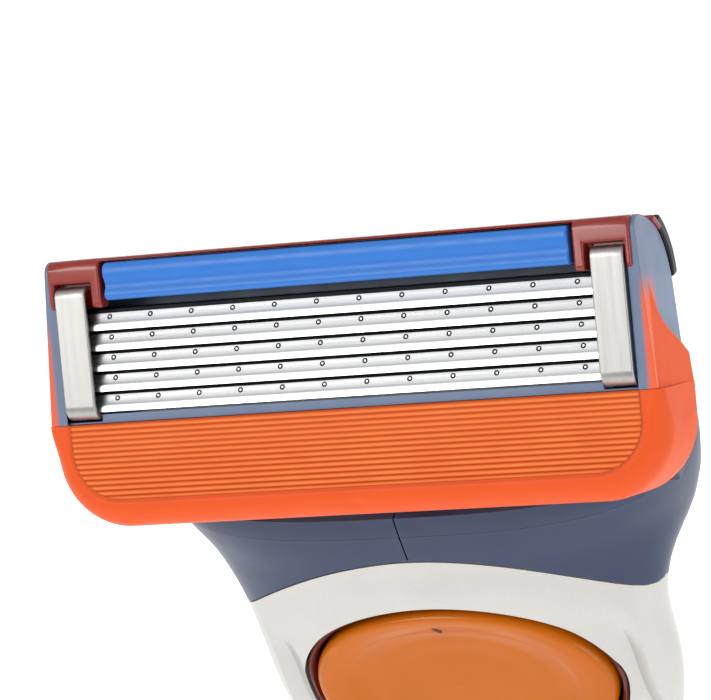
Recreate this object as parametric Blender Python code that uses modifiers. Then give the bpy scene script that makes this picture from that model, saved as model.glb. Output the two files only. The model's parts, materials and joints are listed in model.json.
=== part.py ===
"""Cartridge razor: a five-blade cartridge on a pivoting yoke, and a handle with a release button.

The handle stands along Z with the head on top. The origin is on the handle's axis at the neck,
where a holder's fork takes it. X runs along the blades, and the shaving side faces -Y.
The head is drawn in the frame of its shaving plane: x along the blades, v up the plane from the
lowest weld line towards the cap, and w straight out of the plane.
Lengths are in millimetres until they reach Blender, which works in metres.
"""
import math

import bmesh
import bpy
from mathutils import Matrix, Vector

MM = 0.001

# Driving dimensions.
HEAD_TILT = 38.0                 # degrees between the shaving plane and the handle's axis
FACE_Y, FACE_Z = -3.4, 16.0      # where v = w = 0 lies beside the handle's axis
PIVOT_V, PIVOT_W = -3.8, -7.2    # the yoke's pivot, in the head's frame
BLADE_COUNT = 5
BLADE_PITCH = 1.2
FIRST_EDGE_V = -0.75             # edge of the blade next to the guard
BLADE_HALF_LENGTH = 17.4
BLADE_SLOPE = 20.0               # degrees between a blade and the shaving plane
HOUSING_HALF_WIDTH = 19.2
EAR_INNER_X = 18.45              # the housing's front is open between its two ears
HOUSING_BACK_W = -4.8
GUARD_HALF_WIDTH = 19.5
GUARD_CORNER = 4.4               # radius of the guard's bottom corners
CAP_HALF_WIDTH = 18.3
CLIP_INNER_X, CLIP_OUTER_X = 16.0, 18.0
CAM_RADIUS = 3.0                 # from the pivot to the cam lug that rests on the plunger
CAM_REST_ANGLE = 20.0            # of the cam lug above the pivot, in degrees
CAM_LUG_RADIUS = 0.9
TRUNNION_RADIUS = 1.0
HANDLE_BOTTOM_Z = -121.0
WALL = 1.5                       # thickness of the handle's shells
SHELL_SPLIT_Y = 3.6              # where the front shell meets the rear shell
BUTTON_Z = -7.4
BUTTON_HALF_WIDTH, BUTTON_HALF_HEIGHT = 9.7, 6.3
SLIDE_PER_PRESS = 2.0            # the release slide rises this far for each unit of button travel
RAMP_LOW, RAMP_HIGH = BUTTON_Z - 2.1, BUTTON_Z + 1.9    # ends of the ramp behind the button
GAP = 0.1                        # clearance between pieces that touch

# Sections of the handle, from the neck down: height, half width at the front and at the back,
# front y, back y, and the exponent that squares the section off.
HANDLE_SECTIONS = (
    (7.0, 15.7, 18.2, -4.6, 6.4, 3.0),
    (5.5, 15.3, 18.3, -4.9, 6.4, 3.0),
    (4.0, 14.6, 18.3, -5.1, 6.4, 2.8),
    (2.0, 13.6, 17.9, -5.3, 6.4, 2.7),
    (0.0, 13.5, 16.4, -5.7, 6.4, 2.6),
    (-4.0, 15.4, 10.1, -6.3, 6.5, 2.6),
    (-9.0, 16.0, 7.6, -6.8, 6.5, 2.6),
    (-15.0, 13.8, 6.2, -7.0, 6.0, 2.6),
    (-22.0, 11.2, 5.6, -6.9, 5.4, 2.6),
    (-32.0, 8.6, 5.5, -6.5, 5.0, 2.5),
    (-50.0, 6.5, 5.7, -5.4, 5.3, 2.5),
    (-75.0, 6.9, 6.5, -4.9, 6.2, 2.5),
    (-100.0, 6.4, 6.4, -5.5, 5.6, 2.5),
    (-116.0, 5.4, 5.5, -6.0, 4.2, 2.4),
    (HANDLE_BOTTOM_Z, 4.4, 4.6, -5.6, 3.2, 2.3),
)


def clear_scene():
    for thing in list(bpy.data.objects):
        bpy.data.objects.remove(thing, do_unlink=True)


def new_collection(name):
    collection = bpy.data.collections.new(name)
    bpy.context.scene.collection.children.link(collection)
    return collection


def material(name, colour, roughness, metallic=0.0):
    made = bpy.data.materials.new(name)
    made.use_nodes = True
    shader = made.node_tree.nodes["Principled BSDF"]
    shader.inputs["Base Color"].default_value = (*colour, 1.0)
    shader.inputs["Roughness"].default_value = roughness
    shader.inputs["Metallic"].default_value = metallic
    made.diffuse_color = (*colour, 1.0)
    return made


clear_scene()
PARTS = new_collection("cartridge_razor")
CUTTERS = new_collection("cutters")

SLATE = material("slate_plastic", (0.11, 0.15, 0.25), 0.45)
ORANGE = material("orange_elastomer", (0.90, 0.20, 0.04), 0.55)
STEEL = material("blade_steel", (0.80, 0.80, 0.82), 0.25, 1.0)
DARK_STEEL = material("support_steel", (0.45, 0.46, 0.50), 0.35, 1.0)
BLUE = material("blue_strip", (0.04, 0.22, 0.70), 0.35)
MAROON = material("maroon_plastic", (0.25, 0.03, 0.02), 0.30)
ALUMINIUM = material("clip_aluminium", (0.85, 0.84, 0.82), 0.30, 1.0)
PEARL = material("pearl_silver", (0.78, 0.76, 0.72), 0.30, 0.4)
AMBER = material("amber_button", (0.65, 0.15, 0.02), 0.25)
OXBLOOD = material("oxblood_bezel", (0.12, 0.02, 0.01), 0.45)
GRIP_RUBBER = material("grip_rubber", (0.03, 0.05, 0.09), 0.75)
NATURAL = material("acetal_white", (0.75, 0.74, 0.70), 0.50)
SPRING_STEEL = material("spring_steel", (0.60, 0.60, 0.60), 0.30, 1.0)


# Placing. The head's own frame turns about the pivot, so the head's pieces hang on an empty there.

def face_to_world(v, w):
    """World y and z, in millimetres, of a point given in the head's frame."""
    tilt = math.radians(HEAD_TILT)
    return (FACE_Y + v * math.sin(tilt) - w * math.cos(tilt),
            FACE_Z + v * math.cos(tilt) + w * math.sin(tilt))


PIVOT_Y, PIVOT_Z = face_to_world(PIVOT_V, PIVOT_W)


def axis_empty(name, y, z, turn):
    empty = bpy.data.objects.new(name, None)
    empty.location = (0.0, y * MM, z * MM)
    empty.rotation_euler = (turn, 0.0, 0.0)
    empty.empty_display_size = 5 * MM
    PARTS.objects.link(empty)
    return empty


HEAD = axis_empty("cartridge_pivot_axis", PIVOT_Y, PIVOT_Z, math.radians(90.0 - HEAD_TILT))
HANDLE = axis_empty("handle_axis", 0.0, 0.0, 0.0)


def adopt(thing, paint, parent, cutter=False):
    """Give an object its material, its collection and its parent's frame."""
    for collection in list(thing.users_collection):
        collection.objects.unlink(thing)
    (CUTTERS if cutter else PARTS).objects.link(thing)
    if parent is HEAD:
        thing.location -= Vector((0.0, PIVOT_V * MM, PIVOT_W * MM))
    thing.parent = parent
    if cutter:
        thing.hide_render = True
        thing.display_type = "WIRE"
    else:
        thing.data.materials.clear()
        thing.data.materials.append(paint)
    return thing


def as_mesh(curve_object):
    """The same object as a welded mesh, so that it can be cut or can cut."""
    graph = bpy.context.evaluated_depsgraph_get()
    mesh = bpy.data.meshes.new_from_object(curve_object.evaluated_get(graph))
    name, place = curve_object.name, curve_object.matrix_world.copy()
    bpy.data.objects.remove(curve_object)
    solid = bpy.data.objects.new(name, mesh)
    solid.matrix_world = place
    welded = bmesh.new()
    welded.from_mesh(mesh)
    bmesh.ops.remove_doubles(welded, verts=welded.verts, dist=1e-7)
    bmesh.ops.recalc_face_normals(welded, faces=welded.faces)
    welded.to_mesh(mesh)
    welded.free()
    return solid


def block(name, low, high, paint=None, parent=HANDLE, bevel=0.0):
    """A box between two corners. Without a material it is a cutter."""
    size = [(b - a) * MM for a, b in zip(low, high)]
    bpy.ops.mesh.primitive_cube_add(size=1.0)
    thing = bpy.context.object
    thing.name = name
    thing.location = [(a + b) / 2 * MM for a, b in zip(low, high)]
    thing.data.transform(Matrix.Diagonal((*size, 1.0)))
    if bevel:
        rounding = thing.modifiers.new("rounded_edges", "BEVEL")
        rounding.width = bevel * MM
        rounding.segments = 2
        rounding.limit_method = "ANGLE"
    return adopt(thing, paint, parent, cutter=paint is None)


def rod(name, centre, axis, length, radius, paint=None, parent=HANDLE, sides=28):
    """A round bar along X, Y or Z, centred on a point."""
    bpy.ops.mesh.primitive_cylinder_add(vertices=sides, radius=radius * MM, depth=length * MM)
    thing = bpy.context.object
    thing.name = name
    turn = {"X": (0, math.pi / 2, 0), "Y": (math.pi / 2, 0, 0), "Z": (0, 0, 0)}[axis]
    thing.rotation_euler = turn
    thing.location = [c * MM for c in centre]
    thing.data.shade_smooth()
    thing.data.set_sharp_from_angle(angle=math.radians(40))
    return adopt(thing, paint, parent, cutter=paint is None)


OUTLINE_FRAMES = {
    "X": Matrix(((0, 0, 1, 0), (1, 0, 0, 0), (0, 1, 0, 0), (0, 0, 0, 1))),
    "Y": Matrix(((1, 0, 0, 0), (0, 0, -1, 0), (0, 1, 0, 0), (0, 0, 0, 1))),
    "Z": Matrix.Identity(4),
}


def plate(name, outline, axis, low, high, paint=None, parent=HANDLE):
    """A flat outline given thickness along an axis, from low to high."""
    curve = bpy.data.curves.new(name, "CURVE")
    curve.dimensions = "2D"
    curve.fill_mode = "BOTH"
    curve.extrude = (high - low) / 2 * MM
    spline = curve.splines.new("POLY")
    spline.points.add(len(outline) - 1)
    for point, (a, b) in zip(spline.points, outline):
        point.co = (a * MM, b * MM, 0.0, 1.0)
    spline.use_cyclic_u = True
    drawn = bpy.data.objects.new(name, curve)
    bpy.context.scene.collection.objects.link(drawn)
    thing = as_mesh(drawn)
    bpy.context.scene.collection.objects.link(thing)
    thing.data.transform(OUTLINE_FRAMES[axis])
    thing.location["XYZ".index(axis)] = (low + high) / 2 * MM
    return adopt(thing, paint, parent, cutter=paint is None)


def loft(name, rings, paint=None, parent=HANDLE):
    """A closed skin over rings of points, from the top ring to the bottom one."""
    count = len(rings[0])
    skin = bmesh.new()
    rows = [[skin.verts.new(Vector(p) * MM) for p in ring] for ring in rings]
    for upper, lower in zip(rows, rows[1:]):
        for i in range(count):
            j = (i + 1) % count
            skin.faces.new((upper[i], upper[j], lower[j], lower[i]))
    skin.faces.new(rows[0])
    skin.faces.new(rows[-1])
    bmesh.ops.triangulate(skin, faces=[f for f in skin.faces if len(f.verts) > 4])
    bmesh.ops.recalc_face_normals(skin, faces=skin.faces)
    mesh = bpy.data.meshes.new(name)
    skin.to_mesh(mesh)
    skin.free()
    mesh.shade_smooth()
    thing = bpy.data.objects.new(name, mesh)
    bpy.context.scene.collection.objects.link(thing)
    return adopt(thing, paint, parent, cutter=paint is None)


def coil(name, centre, low, high, radius, wire, turns, paint):
    """A compression spring along Z with a closed turn at each end."""
    per_turn = 12
    count = turns * per_turn
    curve = bpy.data.curves.new(name, "CURVE")
    curve.dimensions = "3D"
    curve.bevel_depth = wire / 2 * MM
    curve.bevel_resolution = 1
    curve.use_fill_caps = True
    spline = curve.splines.new("POLY")
    spline.points.add(count)
    rise = high - low - wire
    for i, point in enumerate(spline.points):
        angle = 2 * math.pi * i / per_turn
        along = i / count
        height = low + wire / 2 + rise * along
        point.co = ((centre[0] + radius * math.cos(angle)) * MM,
                    (centre[1] + radius * math.sin(angle)) * MM, height * MM, 1.0)
    thing = bpy.data.objects.new(name, curve)
    bpy.context.scene.collection.objects.link(thing)
    return adopt(thing, paint, HANDLE)


def boolean(thing, other, operation):
    step = thing.modifiers.new(f"{operation.lower()}_{other.name}", "BOOLEAN")
    step.operation = operation
    step.object = other
    return thing


def carve(thing, *cutters):
    for cutter in cutters:
        boolean(thing, cutter, "DIFFERENCE")
    return thing


def fuse(thing, *additions):
    for addition in additions:
        boolean(thing, addition, "UNION")
    return thing


def keep_inside(thing, region):
    return boolean(thing, region, "INTERSECT")


def arc(centre, radius, start, end, steps):
    """Points on an arc, from one angle to another in degrees."""
    angles = [math.radians(start + (end - start) * i / steps) for i in range(steps + 1)]
    return [(centre[0] + radius * math.cos(a), centre[1] + radius * math.sin(a)) for a in angles]


# The head.

def housing_outline():
    """Side view of the housing in (v, w): a rounded back under the cap, a square front."""
    top, bottom, front = 8.15, -6.6, 0.2
    return ([(top, front), (top, -0.8)]
            + arc((4.15, -0.8), 4.0, 0, -90, 8)
            + arc((bottom + 1.4, HOUSING_BACK_W + 1.4), 1.4, 270, 180, 4)
            + [(bottom, -0.95), (-1.42, -0.95), (-1.42, front)])


def face_outline(half, top, bottom, radius):
    """Front view of the lower head in (x, v), with its two bottom corners rounded."""
    return ([(half, top)]
            + arc((half - radius, bottom + radius), radius, 0, -90, 8)
            + arc((-half + radius, bottom + radius), radius, 270, 180, 8)
            + [(-half, top)])


def add_cartridge_housing():
    """The frame that carries blades, clips, cap and guard, open behind the blades."""
    width = HOUSING_HALF_WIDTH
    housing = plate("cartridge_housing", housing_outline(), "X", -width, width, SLATE, HEAD)
    corners = face_outline(width + 0.01, 12.0, -6.61, GUARD_CORNER - 0.9)
    keep_inside(housing, plate("keep_housing_corners", corners, "Z", -12.0, 3.0, None, HEAD))
    ear, face = EAR_INNER_X, -0.12
    beside_clip = CLIP_OUTER_X + 1.5 * GAP
    front = block("cut_housing_front", (-beside_clip, -0.93, face), (beside_clip, 5.7, 1.0), None, HEAD)
    lip = block("cut_housing_lip", (-beside_clip, -2.0, face), (beside_clip, -0.9, 1.0), None, HEAD)
    cap_room = block("cut_cap_room", (-ear, 5.65, -9.0), (ear, 9.0, 1.0), None, HEAD)
    window = block("cut_rinse_window", (-15.7, -0.9, -9.0), (15.7, 5.66, 1.0), None, HEAD)
    seat = block("cut_blade_seat", (-17.7, -0.9, -3.3), (17.7, 5.66, 1.0), None, HEAD)
    carve(housing, front, lip, cap_room, window, seat)
    for side, x in (("left", -1), ("right", 1)):
        inner, outer = sorted((x * (CLIP_INNER_X - GAP), x * (CLIP_OUTER_X + GAP)))
        slot = block(f"cut_clip_slot_{side}", (inner, -1.32, -9.0), (outer, -0.85, 1.0), None, HEAD)
        low, high = sorted((x * 12.7, x * 14.7))
        lug = rod(f"add_pivot_lug_{side}", ((low + high) / 2, PIVOT_V, PIVOT_W), "X",
                  high - low, 2.0, None, HEAD)
        web = block(f"add_lug_web_{side}", (low, PIVOT_V - 1.99, PIVOT_W),
                    (high, PIVOT_V + 1.99, HOUSING_BACK_W + 0.4), None, HEAD)
        hole = rod(f"cut_pivot_hole_{side}", ((low + high) / 2, PIVOT_V, PIVOT_W), "X",
                   high - low + 2, TRUNNION_RADIUS + GAP, None, HEAD)
        carve(housing, slot)
        fuse(housing, lug, web)
        carve(housing, hole)
    cam_v, cam_w = cam_place()
    cam = rod("add_cam_lug", (0, cam_v, cam_w), "X", 2.8, CAM_LUG_RADIUS, None, HEAD)
    stalk = block("add_cam_stalk", (-1.39, cam_v - 0.9, cam_w),
                  (1.39, cam_v + 0.45, HOUSING_BACK_W + 0.1), None, HEAD)
    foot = block("add_cam_foot", (-1.38, cam_v - 2.2, HOUSING_BACK_W - 1.2),
                 (1.38, cam_v + 0.4, HOUSING_BACK_W + 0.4), None, HEAD)
    fuse(housing, cam, stalk, foot)


def cam_place():
    """The cam lug's centre in the head's frame, set by its place beside the pivot at rest."""
    tilt, rest = math.radians(HEAD_TILT), math.radians(CAM_REST_ANGLE)
    y, z = CAM_RADIUS * math.cos(rest), CAM_RADIUS * math.sin(rest)
    return (PIVOT_V + y * math.sin(tilt) + z * math.cos(tilt),
            PIVOT_W - y * math.cos(tilt) + z * math.sin(tilt))


def add_guard_elastomer():
    """The rubber guard over the lower front of the housing, with a wedge up each side."""
    top = -1.5
    outline = face_outline(GUARD_HALF_WIDTH, top, -7.7, GUARD_CORNER)
    guard = plate("guard_elastomer", outline, "Z", -4.9, 0.1, ORANGE, HEAD)
    wedge_outline = [(top - 0.5, -4.85), (top - 0.5, -0.1), (5.4, -0.1), (2.9, -0.8), (1.6, -2.6),
                     (0.2, -4.5)]
    for side, x in (("left", -1), ("right", 1)):
        low, high = sorted((x * (HOUSING_HALF_WIDTH + 0.05), x * GUARD_HALF_WIDTH))
        wedge = plate(f"add_side_wedge_{side}", wedge_outline, "X", low, high, None, HEAD)
        fuse(guard, wedge)
    room = face_outline(HOUSING_HALF_WIDTH + 0.07, 9.0, -6.67, GUARD_CORNER - 0.9)
    carve(guard, plate("cut_housing_room", room, "Z", -6.0, -0.88, None, HEAD))


def blade_point(edge_v, along, below):
    """A point in (v, w), a distance up a blade from its edge and below its front."""
    slope = math.radians(BLADE_SLOPE)
    return (edge_v + along * math.cos(slope) - below * math.sin(slope),
            -along * math.sin(slope) - below * math.cos(slope))


def add_blade(number):
    """A thin blade and the bent strip that it is welded to."""
    edge = FIRST_EDGE_V + BLADE_PITCH * (number - 1)
    length, thickness, bevel = 1.35, 0.1, 0.3
    blade = [blade_point(edge, 0, 0), blade_point(edge, bevel, thickness),
             blade_point(edge, length, thickness), blade_point(edge, length, 0)]
    plate(f"blade_{number}", blade, "X", -BLADE_HALF_LENGTH, BLADE_HALF_LENGTH, STEEL, HEAD)
    lip, heel = 0.4, 1.3
    weld, flange, foot_w = 0.13, 0.22, -2.9
    top_v, top_w = blade_point(edge, heel, weld)
    start_v, start_w = blade_point(edge, lip, weld + flange)
    slope = math.tan(math.radians(BLADE_SLOPE))
    inner_v = top_v - flange
    support = [blade_point(edge, lip, weld), (start_v, start_w),
               (inner_v, start_w - (inner_v - start_v) * slope), (inner_v, foot_w),
               (top_v, foot_w), (top_v, top_w)]
    plate(f"blade_support_{number}", support, "X", -BLADE_HALF_LENGTH, BLADE_HALF_LENGTH,
          DARK_STEEL, HEAD)


def add_cap():
    """The cap: a carrier across the top of the head, the strip in it, and the rear trimmer."""
    profile = ([(5.75, 0.2), (5.75, -5.9), (6.9, -5.85), (7.4, -5.6), (7.95, -3.6), (8.3, -1.6)]
               + arc((7.7, -0.4), 0.6, 0, 90, 4))
    carrier = plate("trimmer_carrier", profile, "X", -CAP_HALF_WIDTH, CAP_HALF_WIDTH, MAROON, HEAD)
    end_profile = [(5.2, -5.0), (5.2, -5.9), (6.9, -5.85), (7.4, -5.6), (7.9, -3.8), (8.0, -2.6)]
    tail = plate("add_trimmer_ends", end_profile, "X", -18.9, 18.9, None, HEAD)
    corner = rod("cut_housing_corner", (0, 4.15, -0.8), "X", 50, 4.0 + GAP, None, HEAD, 64)
    carve(tail, corner)
    fuse(carrier, tail)
    strip_room = block("cut_strip_room", (-15.05, 5.0, -1.6), (15.05, 8.08, 1.0), None, HEAD)
    carve(carrier, strip_room)
    for side, x in (("left", -1), ("right", 1)):
        inner, outer = sorted((x * (CLIP_INNER_X - GAP), x * (CLIP_OUTER_X + GAP)))
        notch = block(f"cut_clip_notch_{side}", (inner, 5.0, 0.0), (outer, 6.9, 1.0), None, HEAD)
        slot = block(f"cut_cap_slot_{side}", (inner, 6.25, -9.0), (outer, 6.85, 1.0), None, HEAD)
        heel = block(f"cut_cap_heel_{side}", (inner, 5.0, -9.0), (outer, 6.85, -5.6), None, HEAD)
        carve(carrier, notch, slot, heel)
    strip = [(5.78, -1.5), (8.0, -1.5), (8.0, 0.1), (7.75, 0.5), (7.1, 0.5), (6.9, 0.36),
             (6.5, 0.36), (6.3, 0.5), (6.0, 0.45), (5.78, 0.1)]
    plate("lubricating_strip", strip, "X", -14.95, 14.95, BLUE, HEAD)
    blade = [(4.9, -6.0), (5.15, -6.12), (7.0, -6.12), (7.0, -6.0)]
    plate("trimmer_blade", blade, "X", -15.5, 15.5, STEEL, HEAD)


def clip_outline():
    """Side view of a retaining clip: a bar over the blades with two legs folded behind."""
    top, bottom, sheet = 6.7, -1.2, 0.3
    front, cap_hook, heel_hook = 0.55, -6.0, -5.25
    return ([(bottom + 1.4, heel_hook), (bottom + 1.4, heel_hook + sheet),
             (bottom + sheet, heel_hook + sheet), (bottom + sheet, front - sheet),
             (top - sheet, front - sheet), (top - sheet, cap_hook + sheet),
             (top - 1.3, cap_hook + sheet), (top - 1.3, cap_hook)]
            + arc((top - 0.35, cap_hook + 0.35), 0.35, 270, 360, 3)
            + arc((top - 0.35, front - 0.35), 0.35, 0, 90, 3)
            + arc((bottom + 0.35, front - 0.35), 0.35, 90, 180, 3)
            + arc((bottom + 0.35, heel_hook + 0.35), 0.35, 180, 270, 3))


def add_clips():
    for side, x in (("left", -1), ("right", 1)):
        low, high = sorted((x * CLIP_INNER_X, x * CLIP_OUTER_X))
        plate(f"clip_{side}", clip_outline(), "X", low, high, ALUMINIUM, HEAD)


# The handle's sections.

def section_at(height):
    """The five numbers of the handle's section at a height, on smooth curves through the list."""
    rows = HANDLE_SECTIONS
    if height >= rows[0][0]:
        return rows[0][1:]
    index = next(i for i in range(len(rows) - 1) if height >= rows[i + 1][0])
    before, here = rows[max(index - 1, 0)], rows[index]
    there, after = rows[index + 1], rows[min(index + 2, len(rows) - 1)]
    span = there[0] - here[0]
    t = (height - here[0]) / span
    values = []
    for k in range(1, 6):
        start = (there[k] - before[k]) / (there[0] - before[0]) * span
        end = (after[k] - here[k]) / (after[0] - here[0]) * span
        values.append((2 * t**3 - 3 * t**2 + 1) * here[k] + (t**3 - 2 * t**2 + t) * start
                      + (3 * t**2 - 2 * t**3) * there[k] + (t**3 - t**2) * end)
    return values


def section_ring(height, inset=0.0, points=32):
    """A closed section of the handle: a squared ellipse, wider at the back than at the front."""
    front_half, back_half, front, back, power = section_at(height)
    front, back = front + inset, back - inset
    middle, depth = (front + back) / 2, (back - front) / 2
    ring = []
    for i in range(points):
        angle = 2 * math.pi * i / points
        across, along = math.cos(angle), math.sin(angle)
        y = middle + depth * math.copysign(abs(along) ** (2 / power), along)
        share = (y - front) / (back - front)
        half = front_half + (back_half - front_half) * share - inset
        ring.append((half * math.copysign(abs(across) ** (2 / power), across), y, height))
    return ring


def handle_heights(top, bottom):
    """Heights for a loft: close together at the head, further apart along the grip."""
    heights = [top]
    while heights[-1] > bottom + 0.5:
        step = 2.0 if heights[-1] > -20.0 else 6.0
        heights.append(max(heights[-1] - step, bottom))
    return heights


def handle_body(name, top, bottom, inset, paint=None):
    rings = [section_ring(z, inset) for z in handle_heights(top, bottom)]
    return loft(name, rings, paint)


def shell_region(name, lift):
    """The space below the seam with the neck: arched at the front, sloping down to the back."""
    arch_radius, arch_top = 20.0, 3.1 + lift
    outline = (arc((0, arch_top - arch_radius), arch_radius, 20, 160, 28)
               + [(-25, HANDLE_BOTTOM_Z - 9), (25, HANDLE_BOTTOM_Z - 9)])
    region = plate(name, outline, "Y", -20, 20)
    slope, knee = 0.5, -2.0
    rear_drop = -2.1 + lift
    wedge = [(knee, rear_drop), (21, rear_drop - slope * (21 - knee)), (21, 30), (-21, 30),
             (-21, rear_drop + 6), (knee - 3.2, rear_drop + 5.6)]
    return carve(region, plate(f"cut_behind_{name}", wedge, "X", -30, 30))


def add_shells():
    """The pearl front shell and the slate rear shell, with a rubber grip let into the back."""
    region = shell_region("keep_below_neck", 0.0)
    bottom = HANDLE_BOTTOM_Z + 5.0
    cavity = handle_body("cut_handle_cavity", 4.9, bottom - 1, WALL)
    front_half = block("keep_front_half", (-30, -20, -140), (30, SHELL_SPLIT_Y, 20))
    rear_half = block("keep_rear_half", (-30, SHELL_SPLIT_Y + GAP, -140), (30, 18, 20))
    front = handle_body("handle_front_shell", 4.5, bottom, 0.0, PEARL)
    keep_inside(front, front_half)
    keep_inside(front, region)
    carve(front, cavity, button_hole("cut_button_hole", 0.75))
    rear = handle_body("handle_rear_shell", 4.5, bottom, 0.0, SLATE)
    keep_inside(rear, region)
    keep_inside(rear, rear_half)
    carve(rear, cavity)
    pad_low, pad_high = (-4.6, SHELL_SPLIT_Y + 0.3, -104.0), (4.6, 12.0, -26.0)
    recess = block("cut_grip_recess", [c - GAP for c in pad_low], [c + GAP for c in pad_high])
    carve(recess, handle_body("cut_recess_floor", -20.0, -110.0, 0.75 + GAP))
    carve(rear, recess)
    grip = handle_body("rear_grip", -20.0, -110.0, -0.3, GRIP_RUBBER)
    keep_inside(grip, block("keep_grip_pad", pad_low, pad_high))
    carve(grip, handle_body("cut_grip_floor", -19.0, -111.0, 0.75))


def add_end_cap():
    top = HANDLE_BOTTOM_Z + 5.0 - GAP
    cap = handle_body("end_cap", top, HANDLE_BOTTOM_Z, 0.0, PEARL)
    spigot = handle_body("add_cap_spigot", top + 3.0, top - 1.0, WALL + GAP)
    fuse(cap, spigot)


def add_neck_collar():
    """The slate collar that flares from the handle to the width of the yoke."""
    collar = handle_body("neck_collar", 5.0, -10.0, 0.0, SLATE)
    carve(collar, shell_region("cut_below_neck", GAP))
    room = block("cut_collar_room", (-4.6, -2.3, -20.0), (4.6, 4.85, 9.0))
    carve(collar, room)


# The mechanism.

def add_neck_chassis():
    """The core of the neck: docking nose, plunger bore and guide for the release slide."""
    chassis = block("neck_chassis", (-4.5, 1.25, -26.0), (4.5, 4.75, 6.1), NATURAL, bevel=0.2)
    bore = rod("cut_plunger_bore", (0, plunger_y(), 5.5), "Z", 30.0, 1.3)
    ledge = block("add_spring_ledge", (-2.2, -1.9, 2.0), (2.2, 1.5, 3.4))
    trim = handle_body("keep_in_handle", 5.0, -30.0, WALL + GAP)
    tail = block("cut_chassis_tail", (-9, -9, -30), (9, 9, -4.0))
    carve(tail, trim)
    carve(chassis, tail)
    fuse(chassis, ledge)
    carve(chassis, bore)


def plunger_y():
    """The plunger stands under the middle of the cam lug's swing."""
    swing = (1.0 + math.cos(math.radians(CAM_REST_ANGLE))) / 2
    return PIVOT_Y + CAM_RADIUS * swing


def add_plunger():
    top = PIVOT_Z + CAM_RADIUS * math.sin(math.radians(CAM_REST_ANGLE)) - CAM_LUG_RADIUS - GAP / 2
    bottom = -2.0
    rod("plunger", (0, plunger_y(), (top + bottom) / 2), "Z", top - bottom, 1.2, NATURAL)
    coil("plunger_spring", (0, plunger_y()), -9.3, bottom - GAP, 0.98, 0.32, 9, SPRING_STEEL)


def button_hole(name, margin):
    """An oval bar along Y, a margin larger than the button."""
    oval = [((BUTTON_HALF_WIDTH + margin) * math.cos(a), (BUTTON_HALF_HEIGHT + margin) * math.sin(a))
            for a in (2 * math.pi * i / 48 for i in range(48))]
    bar = plate(name, oval, "Y", -20, -2.0)
    bar.location.z += BUTTON_Z * MM
    return bar


def add_button():
    """The oval release button, the bezel around it, and the slide that its wedge lifts."""
    bezel = handle_body("button_bezel", 4.0, -20.0, 0.35, OXBLOOD)
    keep_inside(bezel, button_hole("keep_bezel", 0.65))
    carve(bezel, button_hole("cut_bezel_well", 0.1))
    button = handle_body("release_button", 4.0, -20.0, 0.1, AMBER)
    keep_inside(button, button_hole("keep_button", 0.0))
    back = block("cut_button_back", (-20, -4.3, -20), (20, 20, 8))
    stem = wedge_block("add_button_stem", -4.6, -2.6, 2.6, -GAP)
    carve(button, back)
    fuse(button, stem)
    trim = block("cut_bezel_back", (-20, -3.4, -20), (20, 20, 8))
    carve(bezel, trim)


def wedge_block(name, front, left, right, offset):
    """A bar whose rear end lies on the ramp that turns a press into a lift."""
    outline = [(front, RAMP_LOW), (ramp_y(RAMP_LOW, offset), RAMP_LOW),
               (ramp_y(RAMP_HIGH, offset), RAMP_HIGH), (front, RAMP_HIGH)]
    return plate(name, outline, "X", left, right)


def ramp_y(z, offset):
    """The ramp between stem and slide, shifted by an offset to leave a clearance."""
    return -1.2 - (z - BUTTON_Z) / SLIDE_PER_PRESS + offset


def add_release_slide():
    """The slide behind the button: a ramp below, a spring post, and two prongs by the ledge."""
    shoulder, back = -2.5, 1.1
    side = [(ramp_y(RAMP_LOW, GAP), RAMP_LOW), (back, RAMP_LOW), (back, shoulder),
            (ramp_y(RAMP_HIGH, GAP), shoulder), (ramp_y(RAMP_HIGH, GAP), RAMP_HIGH)]
    slide = plate("release_slide", side, "X", -3.6, 3.6, NATURAL)
    for name, x in (("left", -1), ("right", 1)):
        inner, outer = sorted((x * 2.5, x * 3.6))
        fuse(slide, block(f"add_prong_{name}", (inner, -1.8, shoulder - 0.5), (outer, back, 2.3)))
    fuse(slide, rod("add_spring_post", (0, -0.3, shoulder + 0.4), "Z", 1.6, 0.6))
    coil("slide_spring", (0, -0.3), shoulder + 0.1, 1.9, 1.05, 0.3, 5, SPRING_STEEL)


def add_weight_insert():
    """A steel bar glued along the handle's hollow, which gives the handle its weight."""
    block("weight_insert", (-3.1, -2.9, -108.0), (3.1, 2.3, -34.0), DARK_STEEL, bevel=0.5)


def add_connecting_member():
    """The yoke: a skirt that docks on the nose, and two arms with trunnions for the head."""
    yoke = handle_body("connecting_member", 6.35, 5.15, 0.0, SLATE)
    carve(yoke, block("cut_nose_socket", (-4.6, 1.15, 0), (4.6, 4.85, 9)))
    for side, x in (("left", -1), ("right", 1)):
        low, high = sorted((x * 14.9, x * 17.1))
        disc = rod(f"add_arm_disc_{side}", ((low + high) / 2, PIVOT_Y, PIVOT_Z), "X", high - low, 2.0)
        arm = block(f"add_arm_{side}", (low, PIVOT_Y - 1.98, 6.0), (high, PIVOT_Y + 1.98, PIVOT_Z))
        reach_in, reach_out = sorted((x * 12.8, x * 16.0))
        pin = rod(f"add_trunnion_{side}", ((reach_in + reach_out) / 2, PIVOT_Y, PIVOT_Z), "X",
                  reach_out - reach_in, TRUNNION_RADIUS)
        heel = block(f"add_arm_heel_{side}", (low + 0.03, -2.0, 5.5), (high - 0.03, 1.2, 6.8))
        fuse(arm, disc, pin, heel)
        fuse(yoke, arm)


add_cartridge_housing()
add_guard_elastomer()
for blade_number in range(1, BLADE_COUNT + 1):
    add_blade(blade_number)
add_cap()
add_clips()
add_connecting_member()
add_neck_collar()
add_shells()
add_end_cap()
add_neck_chassis()
add_plunger()
add_button()
add_release_slide()
add_weight_insert()
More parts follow.
